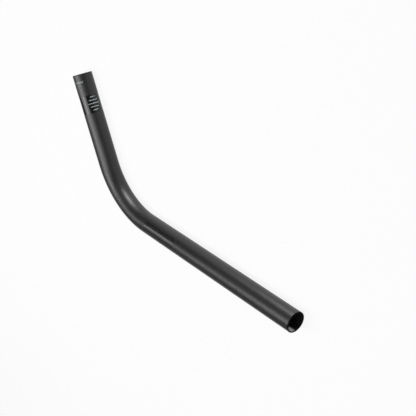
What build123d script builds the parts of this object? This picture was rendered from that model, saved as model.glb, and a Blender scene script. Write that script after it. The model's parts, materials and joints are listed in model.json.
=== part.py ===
"""Aero handlebar extension: one bent, open-ended tube.

The straight leg is held in the clamp of a base bar, the tube then bends once and ends in a
shorter straight leg that is held in the hand. The part lies on its side: the bend is in the
XY plane, with Z across it.

Origin: centre of the clamp end's mouth, on the tube's axis. +X points out of that mouth.
"""
from build123d import *

import os

# Driving dimensions, in millimetres and degrees
TUBE_DIAMETER = 22.2
WALL = 1.8
CLAMP_LEG = 230.0
BEND_RADIUS = 82.0
BEND_ANGLE = 64.0
GRIP_LEG = 104.0
RIM_ROUND = 0.4
MOUTH_CHAMFER = 0.25

TUBE_RADIUS = TUBE_DIAMETER / 2
BORE_RADIUS = TUBE_RADIUS - WALL


def centre_line():
    """The tube's axis: along -X from the clamp end, round the bend towards +Y, out along the grip."""
    clamp_leg = Line((0, 0), (-CLAMP_LEG, 0))
    bend = JernArc(clamp_leg @ 1, clamp_leg % 1, BEND_RADIUS, -BEND_ANGLE)
    grip_leg = Line(bend @ 1, bend @ 1 + GRIP_LEG * (bend % 1))
    return Wire([clamp_leg, bend, grip_leg])


def swept_round(axis, radius):
    """A round bar of one radius, carried along the axis."""
    section = Plane(origin=axis @ 0, z_dir=axis % 0) * Circle(radius)
    return sweep(section, path=axis)


def end_edges(tube, axis, radius):
    """The circles of one radius that border the tube's two square-cut ends."""
    mouths = [axis @ 0, axis @ 1]
    circles = tube.edges().filter_by(GeomType.CIRCLE)
    return [
        edge
        for edge in circles
        if abs(edge.radius - radius) < WALL / 4
        and min((edge.arc_center - mouth).length for mouth in mouths) < WALL / 4
    ]


def extension_tube():
    """The bent tube: its outer skin less its bore, with the rims eased where they were cut."""
    axis = centre_line()
    tube = swept_round(axis, TUBE_RADIUS) - swept_round(axis, BORE_RADIUS)
    tube = fillet(end_edges(tube, axis, TUBE_RADIUS), RIM_ROUND)
    return chamfer(end_edges(tube, axis, BORE_RADIUS), MOUTH_CHAMFER)


os.makedirs("parts", exist_ok=True)
export_step(extension_tube(), "parts/extension_tube.step")
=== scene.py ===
import json
from math import pi, radians

import bpy
import numpy as np
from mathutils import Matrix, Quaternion, Vector


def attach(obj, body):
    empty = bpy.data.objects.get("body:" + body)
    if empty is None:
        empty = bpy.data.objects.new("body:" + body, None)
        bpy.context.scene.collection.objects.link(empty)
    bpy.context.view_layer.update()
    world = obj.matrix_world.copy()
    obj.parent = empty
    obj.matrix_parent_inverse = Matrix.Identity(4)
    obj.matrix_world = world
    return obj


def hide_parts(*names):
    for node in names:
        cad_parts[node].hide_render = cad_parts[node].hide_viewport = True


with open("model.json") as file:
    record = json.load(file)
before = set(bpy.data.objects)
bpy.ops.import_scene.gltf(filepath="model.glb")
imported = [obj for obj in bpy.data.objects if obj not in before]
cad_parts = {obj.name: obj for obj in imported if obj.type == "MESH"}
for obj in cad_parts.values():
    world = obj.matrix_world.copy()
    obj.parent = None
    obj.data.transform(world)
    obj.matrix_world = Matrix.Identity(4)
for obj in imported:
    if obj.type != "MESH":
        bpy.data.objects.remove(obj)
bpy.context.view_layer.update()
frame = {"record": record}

# The tube. One hollow carbon-fibre moulding, laid up over a bent core, cured, rubbed down and
# sprayed with a satin black lacquer; its two ends are sawn square and the rims eased by hand.
# The long straight leg goes into the base bar's clamp and the short one is held in the hand.
MM = 0.001
RIM_ROUND = 0.4 * MM
MOUTH_CHAMFER = 0.25 * MM
mounts = {mount["name"]: mount for mount in frame["record"]["mounts"]}
skin_radius = mounts["clamp_end"]["dims"]["r_mm"] * MM
bore_radius = mounts["clamp_end_bore"]["dims"]["r_mm"] * MM
clamp_leg = mounts["clamp_end"]["dims"]["length_mm"] * MM + RIM_ROUND
grip_leg = mounts["grip_end"]["dims"]["length_mm"] * MM + RIM_ROUND
grip_mouth = mounts["grip_end"]["pos_m"]
grip_axis = mounts["grip_end"]["axis"]
bend_angle = np.arccos(-grip_axis[0])
bend_radius = (grip_mouth[1] - grip_leg * grip_axis[1]) / (1 - np.cos(bend_angle))
bend_length = bend_radius * bend_angle
tube_length = clamp_leg + bend_length + grip_leg


def on_tube(place, turn, radius):
    """Points of the bent tube, from the distance along its axis, the turn round it and the radius.

    The axis runs straight along -X for the clamp leg, on an arc towards +Y for the bend, and on
    along the arc's last tangent for the grip leg. The point stands off that axis by radius times
    cosine of the turn towards the inside of the bend, and radius times sine of the turn along +Z.
    """
    bent = np.clip((place - clamp_leg) / bend_radius, 0, bend_angle)
    before = np.minimum(place, clamp_leg)
    after = np.maximum(place - clamp_leg - bend_length, 0)
    inward = radius * np.cos(turn)
    x = -before - bend_radius * np.sin(bent) - after * np.cos(bent) + inward * np.sin(bent)
    y = bend_radius * (1 - np.cos(bent)) + after * np.sin(bent) + inward * np.cos(bent)
    z = radius * np.sin(turn) + 0 * place
    return np.stack([x, y, z], axis=-1)


def ring_quads(rows, columns):
    """Quads of a grid of rows by columns that joins up with itself both ways, as a tyre does."""
    i, j = np.meshgrid(np.arange(rows), np.arange(columns), indexing="ij")
    k, m = (i + 1) % rows, (j + 1) % columns
    corners = [i * columns + j, k * columns + j, k * columns + m, i * columns + m]
    return np.stack(corners, axis=-1).reshape(-1, 4)


SHARP_EDGE = radians(35)


def new_piece(name, points, faces, materials):
    """An object at the origin from an array of points and an array of faces.

    It is shaded smooth, but for the edges that turn by more than the sharp angle.
    """
    mesh = bpy.data.meshes.new(name)
    mesh.from_pydata(points.reshape(-1, 3), [], faces.tolist())
    mesh.polygons.foreach_set("use_smooth", np.ones(len(mesh.polygons), bool))
    mesh.set_sharp_from_angle(angle=SHARP_EDGE)
    for material in materials:
        mesh.materials.append(material)
    piece = bpy.data.objects.new(name, mesh)
    bpy.context.scene.collection.objects.link(piece)
    return piece


def linear(hex_colour):
    """An sRGB hex colour as linear red, green, blue and alpha."""
    srgb = np.array([int(hex_colour[i:i + 2], 16) for i in (1, 3, 5)]) / 255
    rgb = np.where(srgb <= 0.04045, srgb / 12.92, ((srgb + 0.055) / 1.055) ** 2.4)
    return (*rgb.tolist(), 1.0)


def add(tree, kind, inputs, **settings):
    """A node of that kind with its settings, each input given a value or linked to an output."""
    made = tree.nodes.new(kind)
    for key, value in settings.items():
        setattr(made, key, value)
    for key, value in inputs.items():
        if isinstance(value, bpy.types.NodeSocket):
            tree.links.new(value, made.inputs[key])
        else:
            made.inputs[key].default_value = value
    return made


def new_material(name):
    """An empty node material and its tree."""
    material = bpy.data.materials.new(name)
    material.use_nodes = True
    material.node_tree.nodes.clear()
    return material, material.node_tree


# Satin lacquer, a matting clear coat over black, rubbed down along the tube: no weave shows, the
# sheen is soft and spreads round the tube more than along it, and the unidirectional fibre under
# it is only a hint of streaks.
FIBRE_STREAK = 0.9 * MM
STREAK_LENGTH = 40 * MM
LACQUER_GRAIN = 0.5 * MM
satin, tree = new_material("satin_black_lacquer_on_carbon")
unbent = add(tree, "ShaderNodeAttribute", {}, attribute_name="unbent").outputs["Vector"]
around = add(tree, "ShaderNodeAttribute", {}, attribute_name="around").outputs["Vector"]
along = add(tree, "ShaderNodeMapping", {
    "Vector": unbent,
    "Scale": (1 / FIBRE_STREAK, 1 / FIBRE_STREAK, 1 / STREAK_LENGTH),
})
streak = add(tree, "ShaderNodeTexNoise", {
    "Vector": along.outputs["Vector"],
    "Scale": 1.0,
    "Detail": 3.0,
})
grain = add(tree, "ShaderNodeTexNoise", {
    "Vector": unbent,
    "Scale": 1 / LACQUER_GRAIN,
    "Detail": 2.0,
})
tone = add(tree, "ShaderNodeMix", {
    "Factor": streak.outputs["Fac"],
    "A": linear("#121212"),
    "B": linear("#161617"),
}, data_type="RGBA")
sheen_change = add(tree, "ShaderNodeMapRange", {
    "Value": streak.outputs["Fac"],
    "To Min": 0.35,
    "To Max": 0.37,
})
peel = add(tree, "ShaderNodeBump", {
    "Height": grain.outputs["Fac"],
    "Strength": 0.02,
    "Distance": 0.02 * MM,
})
shader = add(tree, "ShaderNodeBsdfPrincipled", {
    "Base Color": tone.outputs["Result"],
    "Roughness": sheen_change.outputs["Result"],
    "IOR": 1.5,
    "Anisotropic": 0.6,
    "Tangent": around,
    "Normal": peel.outputs["Normal"],
})
add(tree, "ShaderNodeOutputMaterial", {"Surface": shader.outputs["BSDF"]})

# Bare laminate in the bore, resin that took the print of its bladder: dull, and coloured darker than
# bare laminate is, only a little greyer than the lacquer, as painted shade, so that the bore reads
# as black.
BLADDER_WRINKLE = 3.0 * MM
bare_laminate_and_painted_shade, tree = new_material("bare_carbon_laminate_painted_shade")
unbent = add(tree, "ShaderNodeAttribute", {}, attribute_name="unbent").outputs["Vector"]
wrinkle = add(tree, "ShaderNodeTexNoise", {
    "Vector": unbent,
    "Scale": 1 / BLADDER_WRINKLE,
    "Detail": 2.0,
})
# The bore's colour is set near black, darker than bare laminate, as painted shade in the bore.
tone = add(tree, "ShaderNodeMix", {
    "Factor": wrinkle.outputs["Fac"],
    "A": linear("#171718"),
    "B": linear("#1f1f20"),
}, data_type="RGBA")
uneven = add(tree, "ShaderNodeBump", {
    "Height": wrinkle.outputs["Fac"],
    "Strength": 0.04,
    "Distance": 0.1 * MM,
})
shader = add(tree, "ShaderNodeBsdfPrincipled", {
    "Base Color": tone.outputs["Result"],
    "Roughness": 0.6,
    "Specular IOR Level": 0.2,
    "Normal": uneven.outputs["Normal"],
})
add(tree, "ShaderNodeOutputMaterial", {"Surface": shader.outputs["BSDF"]})

# The sawn ends, sealed with a brushed coat of dull black resin: nearly no sheen, so they read as
# a black ring between the skin and the bore.
BRUSH_STREAK = 0.8 * MM
sealed, tree = new_material("sealed_saw_cut")
unbent = add(tree, "ShaderNodeAttribute", {}, attribute_name="unbent").outputs["Vector"]
brushed = add(tree, "ShaderNodeTexNoise", {
    "Vector": unbent,
    "Scale": 1 / BRUSH_STREAK,
    "Detail": 3.0,
})
tone = add(tree, "ShaderNodeMix", {
    "Factor": brushed.outputs["Fac"],
    "A": linear("#040404"),
    "B": linear("#080808"),
}, data_type="RGBA")
shader = add(tree, "ShaderNodeBsdfPrincipled", {
    "Base Color": tone.outputs["Result"],
    "Roughness": 0.7,
    "Specular IOR Level": 0.05,
})
add(tree, "ShaderNodeOutputMaterial", {"Surface": shader.outputs["BSDF"]})

# The outline of the wall, once round: out along the skin, over the rounded rim and the flat end,
# in at the mouth, back along the bore, and out again at the other end. A second ring close behind
# each rim keeps the skin's shading straight up to it, and the sealing coat laps over as far as it.
AROUND = 144
BEND_STEPS = 64
LEG_STEPS = 24
RIM_STEPS = 5
SECOND_RING = 1.5 * RIM_ROUND
BORE_RING = 2 * MOUTH_CHAMFER
legs = np.concatenate([
    [RIM_ROUND],
    np.linspace(SECOND_RING, clamp_leg, LEG_STEPS, endpoint=False),
    np.linspace(clamp_leg, clamp_leg + bend_length, BEND_STEPS, endpoint=False),
    np.linspace(clamp_leg + bend_length, tube_length - SECOND_RING, LEG_STEPS),
    [tube_length - RIM_ROUND],
])
quarter = np.linspace(0, pi / 2, RIM_STEPS)[1:]
rim_place = RIM_ROUND * np.sin(quarter)
rim_radius = skin_radius - RIM_ROUND * (1 - np.cos(quarter))
mouth_place = np.array([0.0, MOUTH_CHAMFER])
mouth_radius = np.array([bore_radius + MOUTH_CHAMFER, bore_radius])
bore = np.clip(legs[::-1], BORE_RING, tube_length - BORE_RING)
wall_place = np.concatenate([
    legs,
    tube_length - RIM_ROUND + rim_place,
    tube_length - mouth_place,
    bore,
    mouth_place[::-1],
    RIM_ROUND - rim_place[::-1],
])
wall_radius = np.concatenate([
    np.full(len(legs), skin_radius),
    rim_radius,
    mouth_radius,
    np.full(len(bore), bore_radius),
    mouth_radius[::-1],
    rim_radius[::-1],
])
turns = np.arange(AROUND) * 2 * pi / AROUND
tube = new_piece(
    "bent_tube",
    on_tube(wall_place[:, None], turns, wall_radius[:, None]),
    ring_quads(len(wall_place), AROUND),
    [satin, bare_laminate_and_painted_shade, sealed],
)

# Two attributes for the materials: each point's place on the tube as if it were straight, with
# the axis along Z, and the direction round the tube there, a quarter turn on from the point.
straightened = np.stack(np.broadcast_arrays(
    wall_radius[:, None] * np.cos(turns),
    wall_radius[:, None] * np.sin(turns),
    wall_place[:, None],
), axis=-1)
unbent_layer = tube.data.attributes.new("unbent", "FLOAT_VECTOR", "POINT")
unbent_layer.data.foreach_set("vector", straightened.astype(np.float32).ravel())
axis_points = on_tube(wall_place[:, None], turns, 0.0)
way_round = on_tube(wall_place[:, None], turns + pi / 2, 1.0) - axis_points
around_layer = tube.data.attributes.new("around", "FLOAT_VECTOR", "POINT")
around_layer.data.foreach_set("vector", way_round.astype(np.float32).ravel())

# The finish of each strip of the outline, by the order of the tube's materials.
SATIN, BARE_AND_PAINTED_SHADE, SEALED = range(3)
first_bore = len(legs) + RIM_STEPS
past_bore = first_bore + len(bore) + 1
finish = np.full(len(wall_place), SEALED, np.int32)
finish[1:len(legs) - 2] = SATIN
# The bore's strips, whose near-black colour is partly painted shade.
finish[first_bore:past_bore] = BARE_AND_PAINTED_SHADE
tube.data.polygons.foreach_set("material_index", np.repeat(finish, AROUND))
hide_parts("extension_tube")
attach(tube, "root")

# The gloss band. A ring of gloss black lacquer sprayed over the satin between two masked edges on
# the grip leg: a coat a few hundredths of a millimetre thick.
COAT = 0.03 * MM
BAND_FROM_GRIP_END = (45 * MM, 25 * MM)

# Gloss lacquer, left to flow out: a dark mirror with a slight haze and ripple, black wherever
# it has nothing bright to mirror.
FLOW_RIPPLE = 4 * MM
gloss, tree = new_material("gloss_black_lacquer")
place = add(tree, "ShaderNodeTexCoord", {}).outputs["Object"]
ripple = add(tree, "ShaderNodeTexNoise", {
    "Vector": place,
    "Scale": 1 / FLOW_RIPPLE,
    "Detail": 1.0,
})
flow = add(tree, "ShaderNodeBump", {
    "Height": ripple.outputs["Fac"],
    "Strength": 0.05,
    "Distance": 0.02 * MM,
})
haze = add(tree, "ShaderNodeMapRange", {
    "Value": ripple.outputs["Fac"],
    "To Min": 0.10,
    "To Max": 0.15,
})
shader = add(tree, "ShaderNodeBsdfPrincipled", {
    "Base Color": linear("#0b0b0c"),
    "Roughness": haze.outputs["Result"],
    "IOR": 1.45,
    "Normal": flow.outputs["Normal"],
})
add(tree, "ShaderNodeOutputMaterial", {"Surface": shader.outputs["BSDF"]})

# The band's outline, once round: each masked edge rises to the full coat within one coat's width,
# with a ring behind it that keeps the shading straight, and the underside lies in the skin.
band_start, band_end = (tube_length - from_end for from_end in BAND_FROM_GRIP_END)
from_edge = COAT * np.array([0, 1, 3])
band_place = np.concatenate([
    band_start + from_edge,
    band_end - from_edge[::-1],
    [band_end, band_start],
])
band_radius = skin_radius + COAT * np.array([0.4, 1, 1, 1, 1, 0.4, -1, -1])
band = new_piece(
    "gloss_band",
    on_tube(band_place[:, None], turns, band_radius[:, None]),
    ring_quads(len(band_place), AROUND),
    [gloss],
)
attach(band, "root")

# The scale on the band. Five strokes of pale screen ink round the tube, the longest in the middle,
# by which a set length can be found again; they are baked on over the gloss.
SCALE_FROM_GRIP_END = 34.6 * MM
SCALE_PITCH = 3.7 * MM
SCALE_TURN = radians(11)
STROKE_WIDTH = 0.7 * MM
STROKE_LENGTHS = np.array([6.0, 9.5, 13.5, 9.5, 6.0]) * MM

# Screen ink: a grey with a touch of green and blue, half matt, and mottled by the mesh that laid
# it on. The mottle is drawn coarser than a real mesh, so that it shows.
INK_MOTTLE = 0.6 * MM
ink, tree = new_material("pale_screen_ink")
place = add(tree, "ShaderNodeTexCoord", {}).outputs["Object"]
mottle = add(tree, "ShaderNodeTexNoise", {
    "Vector": place,
    "Scale": 1 / INK_MOTTLE,
    "Detail": 2.0,
})
tone = add(tree, "ShaderNodeMix", {
    "Factor": mottle.outputs["Fac"],
    "A": linear("#8c9797"),
    "B": linear("#a1acab"),
}, data_type="RGBA")
shader = add(tree, "ShaderNodeBsdfPrincipled", {
    "Base Color": tone.outputs["Result"],
    "Roughness": 0.35,
    "IOR": 1.5,
})
add(tree, "ShaderNodeOutputMaterial", {"Surface": shader.outputs["BSDF"]})

MARK_COLUMNS = 25
LEAST_END = 1e-4


def lay_marks(name, place, turn, along, around, material, squareness=8.0, slant=0.0, coat=COAT):
    """Thin printed marks on the skin, one for each entry of the arrays, as one piece.

    A single number stands for all the marks. Unrolled, a mark is a superellipse: from one side of
    it to the other its half length is half of along times the p-th root of 1 minus the p-th power
    of the distance from its middle, p being the squareness; the term under the root has a least
    value, so that no end closes up. The mark leans by slant along the tube, and stands from under
    the skin to a coat above it.
    """
    across = -np.cos(np.linspace(0, pi, MARK_COLUMNS))
    reach = np.maximum(1 - np.abs(across) ** squareness, LEAST_END) ** (1 / squareness)
    side = np.array([-1, 1, 1, -1])
    height = np.array([1, 1, -1, -1])
    each = np.broadcast_arrays(place, turn, along, around)
    place, turn, along, around = (values[:, None, None] for values in each)
    at = place + along / 2 * reach[:, None] * side + slant * across[:, None]
    angle = turn + around / 2 * across[:, None] / skin_radius + 0 * at
    points = on_tube(at, angle, skin_radius + coat * height)
    marks, columns, corners = points.shape[:3]
    mark, column, corner = np.indices((marks, columns - 1, corners))
    first = (mark * columns + column) * corners
    second = first + corners
    after = (corner + 1) % corners
    sides = np.stack([first + corner, second + corner, second + after, first + after], axis=-1)
    starts = np.arange(marks)[:, None] * columns * corners + np.arange(corners)
    ends = starts[:, ::-1] + (columns - 1) * corners
    faces = np.concatenate([sides.reshape(-1, 4), starts, ends])
    return new_piece(name, points, faces, [material])


strokes = len(STROKE_LENGTHS)
stroke_places = tube_length - SCALE_FROM_GRIP_END + (np.arange(strokes) - strokes // 2) * SCALE_PITCH
scale = lay_marks(
    "band_scale", stroke_places, SCALE_TURN, STROKE_WIDTH, STROKE_LENGTHS, ink, coat=2 * COAT,
)
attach(scale, "root")

# The marks by the grip end: a row of small strokes in the same ink, and two gloss lines behind it
# that show only where the light catches them. A cap or a shifter covers them when the bar is built.
ROW_FROM_GRIP_END = 9 * MM
ROW_TURNS = np.radians(np.linspace(40, 92, 10))
ROW_STROKE_LENGTH = 1.9 * MM
ROW_STROKE_WIDTH = 0.36 * MM
LINES_FROM_GRIP_END = np.array([13, 17]) * MM
LINE_TURN = radians(72)
LINE_WIDTH = 0.6 * MM
LINE_LENGTH = 5 * MM
row = lay_marks(
    "end_row", tube_length - ROW_FROM_GRIP_END, ROW_TURNS, ROW_STROKE_LENGTH, ROW_STROKE_WIDTH, ink,
)
lines = lay_marks(
    "end_lines", tube_length - LINES_FROM_GRIP_END, LINE_TURN, LINE_WIDTH, LINE_LENGTH, gloss,
)
for piece in (row, lines):
    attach(piece, "root")

# The side trim. Black on black, masked and sprayed in gloss: three pinstripes along the clamp leg
# just before the bend, and a row of leaning bars beside them.
TRIM_MIDDLE = 198.7 * MM
TRIM_LENGTH = 50.5 * MM
STRIPE_TURNS = np.radians([43, 53, 65.5])
STRIPE_WIDTHS = np.array([0.95, 0.95, 1.3]) * MM
BAR_COUNT = 20
BAR_ROW = 0.94 * TRIM_LENGTH
BAR_TURN = radians(84)
BAR_WIDTH = 0.8 * MM
BAR_LENGTH = 3.0 * MM
BAR_SLANT = 0.7 * MM
stripes = lay_marks(
    "side_pinstripes", TRIM_MIDDLE, STRIPE_TURNS, TRIM_LENGTH, STRIPE_WIDTHS, gloss,
)
bar_places = TRIM_MIDDLE + np.linspace(-0.5, 0.5, BAR_COUNT) * BAR_ROW
bars = lay_marks(
    "side_bars", bar_places, BAR_TURN, BAR_WIDTH, BAR_LENGTH, gloss, slant=BAR_SLANT,
)
for piece in (stripes, bars):
    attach(piece, "root")

# The setting dots, ten small gloss spots in a row on the side away from the trim, by which the
# clamp is set to the same reach again.
DOT_COUNT = 10
DOT_FIRST = 23 * MM
DOT_PITCH = 15.4 * MM
DOT_TURN = radians(-65)
DOT_SIZE = 1.3 * MM
ELLIPSE = 2.0
dot_places = DOT_FIRST + np.arange(DOT_COUNT) * DOT_PITCH
dots = lay_marks(
    "setting_dots", dot_places, DOT_TURN, DOT_SIZE, DOT_SIZE, gloss, squareness=ELLIPSE,
)
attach(dots, "root")

# The camera, which looks down on the lying tube from beyond its clamp end and is rolled until the
# grip leg points to the top of the picture.
CAMERA_PLACE = Vector((0.4374, 0.4992, 0.4882))
CAMERA_AIM = Vector((-0.1291, 0.0655, 0.0))
CAMERA_ROLL = radians(-112.31)
LENS_MM = 75.09
SENSOR_MM = 36
camera = bpy.data.objects.new("camera", bpy.data.cameras.new("camera"))
camera.data.lens = LENS_MM
camera.data.sensor_width = SENSOR_MM
camera.location = CAMERA_PLACE
camera.rotation_mode = "QUATERNION"
level = (CAMERA_AIM - CAMERA_PLACE).to_track_quat("-Z", "Y")
camera.rotation_quaternion = level @ Quaternion((0, 0, 1), CAMERA_ROLL)
bpy.context.scene.collection.objects.link(camera)
bpy.context.scene.camera = camera

# The floor, pale paper that the tube lies on. It reads as white to the eye and in reflections,
# and the part of its light that comes from the lamps keeps the tube's shadow.
FLOOR_REACH = 25.0
SELF_WHITE = 0.9
paper, tree = new_material("white_paper")
rays = add(tree, "ShaderNodeLightPath", {}).outputs
seen = add(tree, "ShaderNodeMath", {
    0: rays["Is Camera Ray"],
    1: rays["Is Glossy Ray"],
}, operation="MAXIMUM")
seen = add(tree, "ShaderNodeMath", {
    0: seen.outputs[0],
    1: rays["Is Transmission Ray"],
}, operation="MAXIMUM")
share = add(tree, "ShaderNodeMath", {0: seen.outputs[0], 1: SELF_WHITE}, operation="MULTIPLY")
matt = add(tree, "ShaderNodeBsdfDiffuse", {"Color": linear("#f2f2f2")})
white = add(tree, "ShaderNodeEmission", {"Color": linear("#ffffff"), "Strength": 1.0})
mixed = add(tree, "ShaderNodeMixShader", {
    0: share.outputs[0],
    1: matt.outputs[0],
    2: white.outputs[0],
})
add(tree, "ShaderNodeOutputMaterial", {"Surface": mixed.outputs[0]})
corners = FLOOR_REACH * np.array([[-1, -1], [1, -1], [1, 1], [-1, 1]])
floor = new_piece(
    "floor", np.c_[corners, np.full(4, -skin_radius)], np.array([[0, 1, 2, 3]]), [paper],
)


# The lights: a long softbox overhead, a short one just below its middle, and three strips that
# stand on the floor beyond the inside of the bend, dimmer the further they are from the clamp end.
def softbox(name, place, aim, size, radiance, turn=0.0):
    """A rectangular lamp of even brightness that faces its aim, turned on that line.

    Its power is pi times its radiance times its area.
    """
    lamp = bpy.data.lights.new(name, "AREA")
    lamp.shape = "RECTANGLE"
    lamp.size, lamp.size_y = size
    lamp.energy = pi * radiance * size[0] * size[1]
    box = bpy.data.objects.new(name, lamp)
    box.location = place
    box.rotation_mode = "QUATERNION"
    facing = (Vector(aim) - Vector(place)).to_track_quat("-Z", "Y")
    box.rotation_quaternion = facing @ Quaternion((0, 0, 1), turn)
    box.visible_camera = False
    bpy.context.scene.collection.objects.link(box)


softbox(
    "overhead_wide",
    place=(-0.40, 0.02, 1.0),
    aim=(-0.40, 0.02, 0.0),
    size=(1.9, 0.42),
    radiance=3.8,
    turn=radians(6),
)
softbox(
    "overhead_middle",
    place=(-0.45, 0.0, 0.98),
    aim=(-0.45, 0.0, 0.0),
    size=(0.3, 0.5),
    radiance=3.7,
)
STRIP_AWAY = 0.70
STRIP_LEVEL = 0.005
STRIP_HEIGHT = 0.03
for name, x, length, radiance in (
    ("floor_strip", -0.20, 0.28, 117.0),
    ("floor_strip_middle", -0.405, 0.13, 42.0),
    ("floor_strip_far", -0.535, 0.13, 8.0),
):
    softbox(
        name,
        place=(x, STRIP_AWAY, STRIP_LEVEL),
        aim=(x, 0.0, STRIP_LEVEL),
        size=(length, STRIP_HEIGHT),
        radiance=radiance,
    )

# A snooted lamp, whose narrow beam crosses the clamp mouth, reaches a few millimetres into the bore
# and leaves a bright crescent there.
BEAM_PLACE = Vector((0.2325, 0.305, 0.0055))
BEAM_AIM = Vector((-0.0015, -0.007, 0.0055))
BEAM_WATTS = 125
BEAM_ANGLE = radians(2.0)
beam = bpy.data.lights.new("mouth_beam", "SPOT")
beam.energy = BEAM_WATTS
beam.spot_size = BEAM_ANGLE
beam.spot_blend = 1.0
beam.shadow_soft_size = 0.0
snoot = bpy.data.objects.new("mouth_beam", beam)
snoot.location = BEAM_PLACE
snoot.rotation_mode = "QUATERNION"
snoot.rotation_quaternion = (BEAM_AIM - BEAM_PLACE).to_track_quat("-Z", "Y")
bpy.context.scene.collection.objects.link(snoot)

# The room round the set: as pale as the floor at the horizon, dimmer from there up to the top of
# the walls, and even over the ceiling.
WALL_TOP = 0.2
world = bpy.data.worlds.new("studio")
world.use_nodes = True
tree = world.node_tree
tree.nodes.clear()
direction = add(tree, "ShaderNodeTexCoord", {}).outputs["Object"]
height = add(tree, "ShaderNodeSeparateXYZ", {"Vector": direction}).outputs["Z"]
rise = add(tree, "ShaderNodeMapRange", {
    "Value": height,
    "From Max": WALL_TOP,
}, interpolation_type="SMOOTHSTEP")
room = add(tree, "ShaderNodeMix", {
    "Factor": rise.outputs["Result"],
    "A": linear("#f4f4f4"),
    "B": linear("#707070"),
}, data_type="RGBA")
sky = add(tree, "ShaderNodeBackground", {"Color": room.outputs["Result"]})
add(tree, "ShaderNodeOutputWorld", {"Surface": sky.outputs["Background"]})
bpy.context.scene.world = world
bpy.context.scene.view_settings.view_transform = "Standard"
